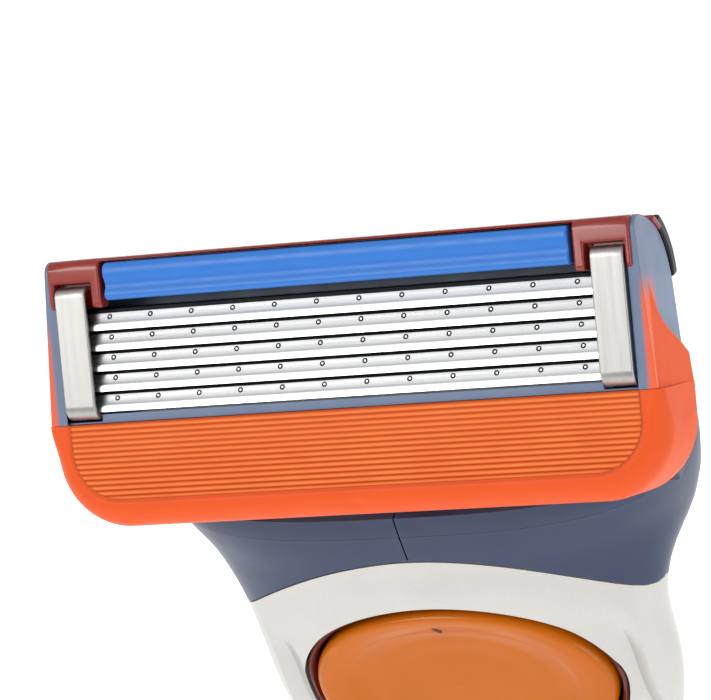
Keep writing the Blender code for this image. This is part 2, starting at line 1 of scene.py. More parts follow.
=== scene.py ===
"""Looks of the cartridge razor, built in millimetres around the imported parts.

Heights along the handle are z, with the neck's seat at zero. The head's pieces are drawn in the
frame of the shaving plane: x along the blades, v up the plane towards the cap, w out of the plane.
"""
import json
import math

import bmesh
import bpy
from mathutils import Matrix, Vector


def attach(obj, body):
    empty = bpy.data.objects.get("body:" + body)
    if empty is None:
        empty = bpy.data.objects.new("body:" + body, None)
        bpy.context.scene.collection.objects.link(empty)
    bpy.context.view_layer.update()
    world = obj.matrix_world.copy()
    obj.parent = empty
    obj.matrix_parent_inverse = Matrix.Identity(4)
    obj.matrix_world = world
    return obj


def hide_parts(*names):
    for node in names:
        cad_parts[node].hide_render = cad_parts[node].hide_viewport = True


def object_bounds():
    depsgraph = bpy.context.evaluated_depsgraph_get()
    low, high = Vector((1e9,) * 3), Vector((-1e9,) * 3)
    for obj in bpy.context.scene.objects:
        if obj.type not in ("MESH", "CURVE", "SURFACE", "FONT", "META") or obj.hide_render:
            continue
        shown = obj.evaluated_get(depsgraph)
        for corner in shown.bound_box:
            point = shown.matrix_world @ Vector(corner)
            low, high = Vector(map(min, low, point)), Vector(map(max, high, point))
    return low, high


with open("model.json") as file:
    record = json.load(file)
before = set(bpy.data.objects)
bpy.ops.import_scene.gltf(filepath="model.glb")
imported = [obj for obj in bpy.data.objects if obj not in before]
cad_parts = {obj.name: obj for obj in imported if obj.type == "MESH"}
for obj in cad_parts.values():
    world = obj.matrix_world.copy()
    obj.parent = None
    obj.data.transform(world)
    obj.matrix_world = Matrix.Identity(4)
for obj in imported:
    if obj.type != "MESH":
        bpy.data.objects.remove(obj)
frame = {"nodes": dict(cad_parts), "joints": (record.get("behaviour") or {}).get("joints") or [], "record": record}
CAD_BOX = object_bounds()

MM = 0.001
HEAD_TILT = math.radians(38.0)          # between the shaving plane and the handle's axis
FACE_Y, FACE_Z = -3.4, 16.0             # the shaving plane's v = w = 0, beside the handle's axis
PIVOT = next(j for j in frame["joints"] if j["name"] == "cartridge_pivot")["pos_m"]
PIVOT_Y, PIVOT_Z = PIVOT[1] / MM, PIVOT[2] / MM
PIVOT_V, PIVOT_W = -3.8, -7.2           # the same axis in the head's frame
BLADE_COUNT, BLADE_PITCH = 5, 1.2
FIRST_EDGE_V = -0.75
BLADE_SLOPE = math.radians(20.0)
BLADE_HALF_LENGTH = 17.4
HOUSING_HALF_WIDTH, EAR_INNER_X = 19.2, 18.1
HOUSING_TOP, HOUSING_BOTTOM = 8.15, -6.6
HOUSING_FRONT_W, HOUSING_BACK_W = 0.2, -4.8
HEEL_RADIUS = 1.4                       # the housing's lower back corner
BACK_CENTRE, BACK_RADIUS = (4.15, -0.8), 4.0    # the round back behind the cap, in (v, w)
GUARD_HALF_WIDTH, GUARD_CORNER = 19.5, 4.4
GUARD_TOP, GUARD_BOTTOM = -1.45, -7.7
CLIP_INNER_X, CLIP_OUTER_X = 16.0, 18.0
CLIP_X = (CLIP_INNER_X + CLIP_OUTER_X) / 2
BUTTON_Z, BUTTON_HALF_WIDTH, BUTTON_HALF_HEIGHT = -7.4, 9.7, 6.3
HANDLE_BOTTOM_Z = -121.0
CAP_JOINT_Z = -116.0
SHELL_SPLIT_Y = 3.6
WALL = 1.5
SIDES = (("left", -1), ("right", 1))

SIN, COS = math.sin(HEAD_TILT), math.cos(HEAD_TILT)
WORLD = Matrix.Identity(4)
HEAD = Matrix(((1, 0, 0, 0), (0, SIN, -COS, FACE_Y), (0, COS, SIN, FACE_Z), (0, 0, 0, 1)))

# Sections of the handle: height, half width at the front and at the back, front y, back y, and
# the exponent that squares the section off.
HANDLE_SECTIONS = (
    (7.0, 15.7, 18.2, -4.6, 6.4, 3.0),
    (5.5, 15.3, 18.3, -4.9, 6.4, 3.0),
    (4.0, 14.6, 18.3, -5.1, 6.4, 2.8),
    (2.0, 13.6, 17.9, -5.3, 6.4, 2.7),
    (0.0, 13.5, 16.4, -5.7, 6.4, 2.6),
    (-4.0, 15.4, 10.1, -6.3, 6.5, 2.6),
    (-9.0, 16.0, 7.6, -6.8, 6.5, 2.6),
    (-15.0, 13.8, 6.2, -7.0, 6.0, 2.6),
    (-22.0, 11.2, 5.6, -6.9, 5.4, 2.6),
    (-32.0, 8.6, 5.5, -6.5, 5.0, 2.5),
    (-50.0, 6.5, 5.7, -5.4, 5.3, 2.5),
    (-75.0, 6.9, 6.5, -4.9, 6.2, 2.5),
    (-100.0, 6.4, 6.4, -5.5, 5.6, 2.5),
    (CAP_JOINT_Z, 5.4, 5.5, -6.0, 4.2, 2.4),
    (HANDLE_BOTTOM_Z, 4.4, 4.6, -5.6, 3.2, 2.3),
)

# The flattened front: (height, strength), and the scoops beside the button: (x or height, strength).
FACET = ((-20.0, 0.0), (-11.0, 1.0), (-3.5, 1.0), (1.4, 0.0))
SCOOP_DEPTH = 0.75
SCOOP_ACROSS = ((9.9, 0.0), (11.0, 1.0), (12.0, 0.0))
SCOOP_DOWN = ((-15.0, 0.0), (-10.0, 1.0), (-6.0, 1.0), (-2.0, 0.0))

# The button's dished face: (share of the radius, depth).
DISH = ((0.0, 1.05), (0.40, 1.0), (0.62, 0.85), (0.72, 0.62), (0.80, 0.32), (0.88, 0.13),
        (0.945, 0.07), (0.972, 0.12), (0.988, 0.26), (1.0, 0.55))
BUTTON_SIDES = 120

# A weld on a blade: rings of (radius, depth below the face), closed by a fan round a bright centre.
CRATER_SIDES = 16
CRATER_PROFILE = ((0.175, 0.004), (0.155, -0.020), (0.11, -0.018), (0.06, -0.004))
CRATER_FACES = CRATER_SIDES * len(CRATER_PROFILE)

SLATE = (0.145, 0.20, 0.32)             # colour of the moulded frame
ORANGE = (0.88, 0.105, 0.016)           # colour of the elastomer


# Materials.

class Paint:
    """A Principled material with helpers for the nodes that vary it."""

    def __init__(self, name, colour, roughness, metallic=0.0, coat=0.0, sheen=0.0, specular=0.5):
        self.material = bpy.data.materials.new(name)
        self.material.use_nodes = True
        self.tree = self.material.node_tree
        self.shader = self.tree.nodes["Principled BSDF"]
        self.colour = (*colour, 1.0)
        self.shader.inputs["Base Color"].default_value = self.colour
        self.shader.inputs["Roughness"].default_value = roughness
        self.shader.inputs["Metallic"].default_value = metallic
        self.shader.inputs["Coat Weight"].default_value = coat
        self.shader.inputs["Coat Roughness"].default_value = 0.08
        self.shader.inputs["Sheen Weight"].default_value = sheen
        self.shader.inputs["Specular IOR Level"].default_value = specular
        self.roughness = roughness
        self.place = self.node("ShaderNodeTexCoord").outputs["Object"]
        self.height = None

    def node(self, kind, **settings):
        made = self.tree.nodes.new(kind)
        for key, value in settings.items():
            setattr(made, key, value)
        return made

    def link(self, source, target):
        self.tree.links.new(source, target)

    def noise(self, per_mm, detail=3.0, stretch=(1, 1, 1)):
        """Noise with this many blobs to the millimetre, squeezed along each axis by stretch."""
        mapping = self.node("ShaderNodeMapping")
        mapping.inputs["Scale"].default_value = [s * per_mm / MM for s in stretch]
        self.link(self.place, mapping.inputs["Vector"])
        noise = self.node("ShaderNodeTexNoise")
        noise.inputs["Scale"].default_value = 1.0
        noise.inputs["Detail"].default_value = detail
        self.link(mapping.outputs["Vector"], noise.inputs["Vector"])
        return noise.outputs["Fac"]

    def ranged(self, source, low, high, to_low, to_high, smooth=False):
        span = self.node("ShaderNodeMapRange")
        if smooth:
            span.interpolation_type = "SMOOTHSTEP"
        for key, value in (("From Min", low), ("From Max", high), ("To Min", to_low), ("To Max", to_high)):
            span.inputs[key].default_value = value
        self.link(source, span.inputs["Value"])
        return span.outputs["Result"]

    def mix(self, factor, colour):
        """Blend the base colour so far towards another one by a factor."""
        blend = self.node("ShaderNodeMix", data_type="RGBA")
        blend.inputs["B"].default_value = (*colour, 1.0)
        base = self.shader.inputs["Base Color"]
        if base.is_linked:
            self.link(base.links[0].from_socket, blend.inputs["A"])
        else:
            blend.inputs["A"].default_value = self.colour
        self.link(factor, blend.inputs["Factor"])
        self.link(blend.outputs["Result"], base)

    def vary(self, per_mm, amount, colour, stretch=(1, 1, 1)):
        """Mottle the colour towards another one, by up to an amount."""
        self.mix(self.ranged(self.noise(per_mm, 4.0, stretch), 0.3, 0.7, 0.0, amount), colour)

    def uneven_gloss(self, per_mm, spread, stretch=(1, 1, 1)):
        value = self.ranged(self.noise(per_mm, 4.0, stretch), 0.3, 0.7,
                            self.roughness - spread, self.roughness + spread)
        self.link(value, self.shader.inputs["Roughness"])

    def grain(self, per_mm, depth, stretch=(1, 1, 1)):
        """Fine relief of this depth in millimetres."""
        bump = self.node("ShaderNodeBump")
        bump.inputs["Strength"].default_value = 1.0
        bump.inputs["Distance"].default_value = depth * MM
        self.link(self.noise(per_mm, 2.0, stretch), bump.inputs["Height"])
        if self.height:
            self.link(self.height, bump.inputs["Normal"])
        self.height = bump.outputs["Normal"]
        self.link(self.height, self.shader.inputs["Normal"])

    def worn_edges(self, colour, amount):
        """Paler or darker along sharp edges, where the surface has been handled."""
        bend = self.node("ShaderNodeNewGeometry").outputs["Pointiness"]
        self.mix(self.ranged(bend, 0.52, 0.62, 0.0, amount), colour)

    def along_head(self, direction):
        """Distance in metres along the head's v or w, from the shaving plane's origin."""
        axis = HEAD.to_3x3() @ Vector(direction)
        dot = self.node("ShaderNodeVectorMath", operation="DOT_PRODUCT")
        dot.inputs[1].default_value = axis
        self.link(self.place, dot.inputs[0])
        shift = self.node("ShaderNodeMath", operation="SUBTRACT")
        shift.inputs[1].default_value = axis.dot(Vector((0, FACE_Y, FACE_Z))) * MM
        self.link(dot.outputs["Value"], shift.inputs[0])
        return shift.outputs["Value"]


def moulded(name, colour, roughness, coat=0.0, specular=0.5, dark=0.85, spark=0.004):
    """Moulded plastic: slight mottling, uneven gloss, a fine spark-eroded grain and worn edges."""
    paint = Paint(name, colour, roughness, coat=coat, specular=specular)
    paint.vary(0.25, 0.5, [c * dark for c in colour])
    paint.worn_edges([min(1.0, c * 1.3 + 0.02) for c in colour], 0.35)
    paint.uneven_gloss(0.5, 0.05)
    paint.grain(6.0, spark)
    return paint


def rolled(name, colour, roughness, stretch=(0.04, 1, 1), depth=0.002):
    """Metal with fine grinding lines along X."""
    paint = Paint(name, colour, roughness, metallic=1.0)
    paint.vary(4.0, 0.5, [c * 0.86 for c in colour], stretch)
    paint.uneven_gloss(3.0, 0.06, stretch)
    paint.grain(12.0, depth, stretch)
    return paint


def make_blade_steel():
    """Ground steel, darker up the face, where the next blade keeps the light off it."""
    paint = rolled("blade_steel", (0.92, 0.92, 0.92), 0.30)
    shade = paint.node("ShaderNodeAttribute", attribute_name="along_face").outputs["Fac"]
    paint.mix(paint.ranged(shade, 0.05, 1.0, 0.0, 0.85), (0.30, 0.31, 0.32))
    return paint.material


def make_orange():
    """Elastomer: redder on the border, painted shade in the panel's grooves, a warmer painted highlight on the rib
    tops, slate at the wedges' front.
    """
    paint = Paint("orange_elastomer", ORANGE, 0.48, specular=0.2)
    panel = paint.node("ShaderNodeAttribute", attribute_name="ribbed").outputs["Fac"]
    # Painted shade: the grooves between the ribs, and the groove round the panel, darker red.
    paint.mix(paint.ranged(panel, 0.0, 0.25, 0.0, 1.0), (0.50, 0.075, 0.012))
    # Painted highlight: the rib tops paler and warmer.
    paint.mix(paint.ranged(panel, 0.3, 1.0, 0.0, 1.0), (1.0, 0.24, 0.055))
    paint.vary(0.4, 0.25, (0.70, 0.09, 0.02))
    v = paint.along_head((0, 1, 0))
    tip = paint.ranged(v, 3.4 * MM, 5.5 * MM, 0.0, 0.85, smooth=True)
    paint.mix(tip, SLATE)
    paint.uneven_gloss(0.6, 0.05)
    paint.grain(8.0, 0.006)
    return paint.material


def make_ear():
    """The frame's slate, with the guard's orange bleeding over the ear's outer front corner."""
    paint = moulded("ear_slate", SLATE, 0.38)
    v, w = paint.along_head((0, 1, 0)), paint.along_head((0, 0, 1))
    across = paint.node("ShaderNodeSeparateXYZ")
    paint.link(paint.place, across.inputs["Vector"])
    side = paint.node("ShaderNodeMath", operation="ABSOLUTE")
    paint.link(across.outputs["X"], side.inputs[0])
    amounts = (paint.ranged(side.outputs["Value"], 18.55 * MM, 18.92 * MM, 0.0, 1.0, smooth=True),
               paint.ranged(w, -2.0 * MM, -1.0 * MM, 0.0, 1.0, smooth=True),
               paint.ranged(v, 3.2 * MM, 5.4 * MM, 1.0, 0.0, smooth=True))
    amount = amounts[0]
    for other in amounts[1:]:
        product = paint.node("ShaderNodeMath", operation="MULTIPLY")
        paint.link(amount, product.inputs[0])
        paint.link(other, product.inputs[1])
        amount = product.outputs["Value"]
    paint.mix(amount, ORANGE)
    return paint.material


def make_pearl():
    """Silver lacquer: a satin metallic coat with fine flake and a clear coat over it."""
    paint = Paint("pearl_silver", (0.60, 0.59, 0.56), 0.36, metallic=0.6, coat=0.15)
    paint.vary(0.15, 0.4, (0.54, 0.53, 0.50))
    flake = paint.noise(14.0, 0.0)
    paint.mix(paint.ranged(flake, 0.55, 0.75, 0.0, 0.25), (0.74, 0.73, 0.71))
    paint.uneven_gloss(0.4, 0.04)
    paint.grain(10.0, 0.0012)
    return paint.material


def make_blue():
    """The strip: a waxy blue, a little paler where it has been wetted and dried."""
    paint = Paint("blue_strip", (0.035, 0.20, 0.66), 0.38, sheen=0.05, specular=0.35)
    paint.vary(0.5, 0.35, (0.05, 0.26, 0.74))
    paint.vary(2.5, 0.2, (0.03, 0.15, 0.62), (0.2, 1, 1))
    paint.uneven_gloss(0.8, 0.07)
    paint.grain(3.0, 0.012, (0.3, 1, 1))
    return paint.material


def make_rubber():
    paint = Paint("grip_rubber", (0.03, 0.04, 0.075), 0.62, sheen=0.2, specular=0.35)
    paint.vary(0.3, 0.5, (0.05, 0.06, 0.10))
    paint.worn_edges((0.10, 0.11, 0.15), 0.4)
    paint.uneven_gloss(0.5, 0.06)
    paint.grain(7.0, 0.010)
    return paint.material


PAINTS = {
    "slate_housing": moulded("slate_housing", SLATE, 0.38).material,
    "slate_neck": moulded("slate_neck", (0.036, 0.054, 0.115), 0.34, specular=0.4).material,
    "orange_elastomer": make_orange(),
    "blade_steel": make_blade_steel(),
    # The blade supports are painted near-black: painted shade, standing for the steel seen only down the narrow
    # shadowed slots between the blades.
    "support_steel": rolled("support_steel", (0.02, 0.02, 0.022), 0.5).material,
    "spring_steel": rolled("spring_steel", (0.55, 0.55, 0.56), 0.30, (1, 1, 0.1)).material,
    "clip_aluminium": rolled("clip_aluminium", (0.50, 0.49, 0.47), 0.42, (1, 0.05, 0.05)).material,
    "blue_strip": make_blue(),
    "maroon_plastic": moulded("maroon_plastic", (0.31, 0.024, 0.014), 0.22, 0.4, 0.4, spark=0.002).material,
    "pearl_silver": make_pearl(),
    "amber_button": moulded("amber_button", (0.60, 0.138, 0.0), 0.22, 0.1, 0.25, spark=0.001).material,
    "oxblood_bezel": moulded("oxblood_bezel", (0.13, 0.018, 0.008), 0.35, spark=0.002).material,
    "grip_rubber": make_rubber(),
    "acetal_white": moulded("acetal_white", (0.72, 0.71, 0.67), 0.45).material,
}
EAR_SLATE = make_ear()
WELD_STEEL = rolled("weld_steel", (0.035, 0.035, 0.04), 0.4).material
BLACK_PLASTIC = moulded("black_plastic", (0.010, 0.008, 0.008), 0.35, specular=0.25).material


# Shapes, as bmesh in millimetres.

def arc(centre, radius, start, end, steps):
    angles = [math.radians(start + (end - start) * i / steps) for i in range(steps + 1)]
    return [(centre[0] + radius * math.cos(a), centre[1] + radius * math.sin(a)) for a in angles]


def prism(outline, axis, low, high):
    """An outline in the other two axes, in order, given thickness along an axis."""
    shape = bmesh.new()
    order = {"X": lambda a, b, c: (c, a, b), "Y": lambda a, b, c: (a, c, b), "Z": lambda a, b, c: (a, b, c)}
    ends = [[shape.verts.new(order[axis](a, b, c)) for a, b in outline] for c in (low, high)]
    for end in ends:
        shape.faces.new(end)
    for i in range(len(outline)):
        j = (i + 1) % len(outline)
        shape.faces.new((ends[0][i], ends[0][j], ends[1][j], ends[1][i]))
    bmesh.ops.recalc_face_normals(shape, faces=shape.faces)
    return shape


def side_prism(outline, side, inner, outer):
    """A prism along X between two distances from the middle, on side -1 or 1."""
    return prism(outline, "X", *sorted((side * inner, side * outer)))


def block(low, high):
    outline = [(low[0], low[1]), (high[0], low[1]), (high[0], high[1]), (low[0], high[1])]
    return prism(outline, "Z", low[2], high[2])


def skin(rows, wrap=False, caps=False):
    """Quads over rows of points. Wrapped rows close on themselves; caps close the two ends."""
    shape = bmesh.new()
    grid = [[shape.verts.new(p) for p in row] for row in rows]
    count = len(rows[0])
    for upper, lower in zip(grid, grid[1:]):
        for i in range(count if wrap else count - 1):
            j = (i + 1) % count
            shape.faces.new((upper[i], upper[j], lower[j], lower[i]))
    if caps:
        shape.faces.new(grid[0])
        shape.faces.new(grid[-1])
    bmesh.ops.recalc_face_normals(shape, faces=shape.faces)
    return shape


def as_object(name, shape):
    mesh = bpy.data.meshes.new(name)
    shape.to_mesh(mesh)
    shape.free()
    thing = bpy.data.objects.new(name, mesh)
    bpy.context.scene.collection.objects.link(thing)
    return thing


def combined(base, *steps):
    """A shape after Boolean steps, each an operation and the shape it uses."""
    body = as_object("body", base)
    tools = []
    for operation, shape in steps:
        tool = as_object("tool", shape)
        step = body.modifiers.new(operation, "BOOLEAN")
        step.operation = operation
        step.object = tool
        tools.append(tool)
    graph = bpy.context.evaluated_depsgraph_get()
    result = bmesh.new()
    result.from_mesh(body.evaluated_get(graph).data)
    for thing in [body] + tools:
        mesh = thing.data
        bpy.data.objects.remove(thing)
        bpy.data.meshes.remove(mesh)
    return result


def minus(base, *shapes):
    return combined(base, *(("DIFFERENCE", shape) for shape in shapes))


def common(base, *shapes):
    return combined(base, *(("INTERSECT", shape) for shape in shapes))


def rounded(shape, width, segments=3, angle=30.0):
    """The same shape with its sharper edges rounded."""
    bmesh.ops.remove_doubles(shape, verts=shape.verts, dist=1e-4)
    bmesh.ops.dissolve_limit(shape, angle_limit=math.radians(0.5), verts=shape.verts,
                             edges=shape.edges)
    edges = [e for e in shape.edges
             if len(e.link_faces) == 2 and e.calc_face_angle() > math.radians(angle)]
    bmesh.ops.bevel(shape, geom=edges, offset=width, segments=segments, profile=0.5,
                    affect="EDGES", clamp_overlap=True)
    return shape


def piece(name, shape, body, nodes, slot, place=HEAD, crease=32.0, paint=None, even=True):
    """Make a shape into a visible piece that rides on a body and stands for CAD nodes."""
    shape.transform(Matrix.Scale(MM, 4) @ place)
    bmesh.ops.recalc_face_normals(shape, faces=shape.faces)
    thing = as_object(name, shape)
    thing.data.shade_smooth()
    thing.data.set_sharp_from_angle(angle=math.radians(crease))
    thing.data.materials.append(paint or PAINTS[slot])
    if even:
        weighting = thing.modifiers.new("even_shading", "WEIGHTED_NORMAL")
        weighting.keep_sharp = True
    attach(thing, body)
    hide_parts(*([nodes] if isinstance(nodes, str) else nodes))
    return thing


def blended(pairs, x):
    """A smooth value at x through pairs of (x, value), level at every pair."""
    if x <= pairs[0][0]:
        return pairs[0][1]
    for (x0, y0), (x1, y1) in zip(pairs, pairs[1:]):
        if x <= x1:
            t = (x - x0) / (x1 - x0)
            return y0 + (y1 - y0) * t * t * (3 - 2 * t)
    return pairs[-1][1]


# The head.

def face_outline(half, top, bottom, radius, steps=14):
    return ([(half, top)]
            + arc((half - radius, bottom + radius), radius, 0, -90, steps)
            + arc((-half + radius, bottom + radius), radius, 270, 180, steps)
            + [(-half, top)])


def inside_rounded(x, v, half, bottom, radius):
    """Distance inside a shape with two round bottom corners and an open top."""
    across, below = abs(x) - (half - radius), (bottom + radius) - v
    if across > 0 and below > 0:
        return radius - math.hypot(across, below)
    return min(half - abs(x), v - bottom)


def heel_and_ledge():
    """The housing's side view from its lower back corner round to the front above the guard."""
    ledge_v, ledge_w = -1.42, -0.95
    return (arc((HOUSING_BOTTOM + HEEL_RADIUS, HOUSING_BACK_W + HEEL_RADIUS), HEEL_RADIUS, 270, 180, 8)
            + [(HOUSING_BOTTOM, ledge_w), (ledge_v, ledge_w), (ledge_v, HOUSING_FRONT_W)])


def housing_outline():
    return ([(HOUSING_TOP, HOUSING_FRONT_W), (HOUSING_TOP, BACK_CENTRE[1])]
            + arc(BACK_CENTRE, BACK_RADIUS, 0, -90, 18) + heel_and_ledge())


def ear_outline():
    """Side view of an ear in (v, w): domed above the cap, level with the guard below."""
    return (arc((7.45, -0.62), 0.82, 90, 0, 10)
            + arc(BACK_CENTRE, BACK_RADIUS, -6, -90, 20) + heel_and_ledge())


def tapered(shape, towards_front=0.0):
    """The same shape with its outer sides drawn in towards the cap, and towards the front."""
    for vert in shape.verts:
        if abs(vert.co.x) > EAR_INNER_X + 0.4:
            drawn_in = (blended(((-1.4, 0.0), (6.0, 0.5)), vert.co.y)
                        + towards_front * blended(((-1.8, 0.0), (-0.2, 1.0)), vert.co.z))
            vert.co.x -= math.copysign(drawn_in, vert.co.x)
    return shape


def add_housing():
    """The frame: a core behind the blades, an ear at each end, and the lugs for the pivot."""
    width = EAR_INNER_X
    core = prism(housing_outline(), "X", -width - 0.05, width + 0.05)
    corners = face_outline(HOUSING_HALF_WIDTH, 12.0, HOUSING_BOTTOM, GUARD_CORNER - 0.9)
    front_above = block((-width, -0.93, -0.12), (width, 9.0, 1.0))
    front_below = block((-width, -2.0, -0.12), (width, -0.9, 1.0))
    cap_seat = block((-width, 5.65, -9.0), (width, 9.0, 1.0))
    rinse_window = block((-15.7, -0.2, -9.0), (15.7, 4.75, 1.0))
    blade_bed = block((-17.7, -0.9, -3.3), (17.7, 5.66, 1.0))
    clip_slots = [block((x - 1.1, -1.32, -9.0), (x + 1.1, -0.85, 1.0)) for x in (-CLIP_X, CLIP_X)]
    core = common(core, prism(corners, "Z", -12.0, 3.0))
    core = minus(core, front_above, front_below, cap_seat, rinse_window, blade_bed, *clip_slots)
    piece("housing_core", rounded(core, 0.07, 2), "blade_unit", "cartridge_housing", "slate_housing")
    lug_radius, lug_top, lug_inner, lug_outer = 2.0, HOUSING_BACK_W + 0.3, 12.7, 14.7
    lug_outline = (arc((PIVOT_V, PIVOT_W), lug_radius, 180, 360, 20)
                   + [(PIVOT_V + lug_radius, lug_top), (PIVOT_V - lug_radius, lug_top)])
    for side, x in SIDES:
        ear = common(side_prism(ear_outline(), x, EAR_INNER_X, HOUSING_HALF_WIDTH),
                     prism(corners, "Z", -12.0, 3.0))
        piece(f"housing_ear_{side}", tapered(rounded(ear, 0.3, 5)), "blade_unit",
              "cartridge_housing", "slate_housing", crease=50, paint=EAR_SLATE)
        lug = side_prism(lug_outline, x, lug_inner, lug_outer)
        hole = side_prism(arc((PIVOT_V, PIVOT_W), 1.1, 0, 345, 23), x, lug_inner - 1, lug_outer + 1)
        piece(f"pivot_lug_{side}", rounded(minus(lug, hole), 0.12, 2, 40), "blade_unit",
              "cartridge_housing", "slate_housing")
    cam_reach, cam_angle = 3.0, math.radians(20)
    cam_v, cam_w = to_head(PIVOT_Y + cam_reach * math.cos(cam_angle),
                           PIVOT_Z + cam_reach * math.sin(cam_angle))
    cam = prism(arc((cam_v, cam_w), 0.9, 180, 330, 12)
                + [(cam_v + 0.45, HOUSING_BACK_W + 0.2), (cam_v - 2.2, HOUSING_BACK_W + 0.2),
                   (cam_v - 2.2, HOUSING_BACK_W - 1.2)], "X", -1.4, 1.4)
    piece("cam_lug", rounded(cam, 0.1, 2, 40), "blade_unit", "cartridge_housing", "slate_housing")


def to_head(y, z):
    """The head's v and w of a point beside the handle's axis."""
    return ((y - FACE_Y) * SIN + (z - FACE_Z) * COS, -(y - FACE_Y) * COS + (z - FACE_Z) * SIN)


def guard_relief(x, v):
    """The guard's front, in w, and how far a point lies in the ribbed panel, raised towards the rib tops, which
    sets the painted shade in the grooves and the painted highlight on the ribs.
    """
    edge_radius, front = blended(((-4.0, 1.5), (GUARD_TOP, 0.5)), v), 0.1
    rib_pitch, rib_depth, border_depth = 0.325, 0.17, 0.03
    panel_half, panel_bottom, panel_corner, panel_edge = 18.1, -6.02, 3.0, 0.16
    groove_depth, groove_width = 0.10, 0.08
    dimple_depth, dimple_v, dimple_width, dimple_height = 0.16, -6.95, 0.5, 0.3
    inside = max(inside_rounded(x, v, GUARD_HALF_WIDTH, GUARD_BOTTOM, GUARD_CORNER), 0.0)
    drop = 0.0
    if inside < edge_radius:
        drop = edge_radius - math.sqrt(edge_radius**2 - (edge_radius - inside) ** 2)
    panel = inside_rounded(x, v, panel_half, panel_bottom, panel_corner)
    within = min(max(panel / panel_edge, 0.0), 1.0)
    rib = abs(math.sin(math.pi * (v - GUARD_TOP + 0.05) / rib_pitch)) ** 0.7
    drop += within * (border_depth + rib_depth * (1 - rib))
    drop += groove_depth * math.exp(-(panel / groove_width) ** 2)
    drop += dimple_depth * math.exp(-(x / dimple_width) ** 2 - ((v - dimple_v) / dimple_height) ** 2)
    return front - drop, within * (0.25 + 0.75 * rib)


def add_rim(shape, row_count, column_count):
    """Sides from the edge of the guard's grid to its back, shallow where the blades begin."""
    last = (row_count - 1) * column_count
    top, bottom = range(column_count), range(last, last + column_count)
    left = range(column_count, last, column_count)
    right = range(2 * column_count - 1, last, column_count)
    shape.verts.ensure_lookup_table()
    front = [shape.verts[i] for i in [*top, *right, *reversed(bottom), *reversed(left)]]
    back = []
    for vert in front:
        x, v, _ = vert.co
        shallow = v > GUARD_TOP - 0.001 and abs(x) < EAR_INNER_X
        back.append(shape.verts.new((x, v, -0.5 if shallow else HOUSING_BACK_W - 0.1)))
    for i in range(len(front)):
        j = (i + 1) % len(front)
        shape.faces.new((front[i], front[j], back[j], back[i]))


def add_guard():
    """The ribbed guard, rounded into its sides, with a wedge up each ear."""
    half_columns, ribbed_count, border_count, row_step = 110, 130, 22, 0.036
    across = [math.sin(math.pi / 2 * (i / half_columns - 1)) for i in range(2 * half_columns + 1)]
    ribbed_rows = [GUARD_TOP - row_step * i for i in range(ribbed_count)]
    last = ribbed_rows[-1]
    border_rows = [last + (GUARD_BOTTOM - last) * math.sin(math.pi / 2 * i / border_count)
                   for i in range(1, border_count + 1)]
    rows, ribbed = [], []
    for v in ribbed_rows + border_rows:
        below = max(GUARD_BOTTOM + GUARD_CORNER - v, 0.0)
        half = GUARD_HALF_WIDTH - GUARD_CORNER + math.sqrt(max(GUARD_CORNER**2 - below**2, 0.0))
        row = []
        for u in across:
            w, within = guard_relief(u * half, v)
            row.append((u * half, v, w))
            ribbed.append(within)
        rows.append(row)
    shape = skin(rows)
    add_rim(shape, len(rows), len(across))
    thing = piece("guard_front", shape, "blade_unit", "guard_elastomer", "orange_elastomer",
                  crease=60, even=False)
    # The ribbed attribute sets the orange's painted shade in the grooves and painted highlight on the rib tops.
    values = thing.data.attributes.new("ribbed", "FLOAT", "POINT").data
    for i, value in enumerate(ribbed):
        values[i].value = value
    wedge = ([(-2.6, HOUSING_BACK_W - 0.1), (-2.6, -1.2), (GUARD_TOP, -0.12), (5.2, -0.2)]
             + arc((5.2, -0.5), 0.3, 90, 0, 5)
             + [(4.6, -0.85), (3.9, -1.0), (3.0, -1.2), (2.4, -1.5), (1.9, -2.0), (1.4, -2.8),
                (0.9, -3.7), (0.2, -4.7), (-1.4, HOUSING_BACK_W - 0.1)])
    for side, x in SIDES:
        shape = side_prism(wedge, x, HOUSING_HALF_WIDTH - 0.3, GUARD_HALF_WIDTH - 0.002)
        piece(f"guard_wedge_{side}", tapered(rounded(shape, 0.12, 4, 40), 0.26), "blade_unit",
              "guard_elastomer", "orange_elastomer", crease=60)


def blade_point(edge_v, along, below):
    """The v and w of a point so far up a blade's face from its edge, and so far below the face."""
    return (edge_v + along * math.cos(BLADE_SLOPE) - below * math.sin(BLADE_SLOPE),
            -along * math.sin(BLADE_SLOPE) - below * math.cos(BLADE_SLOPE))


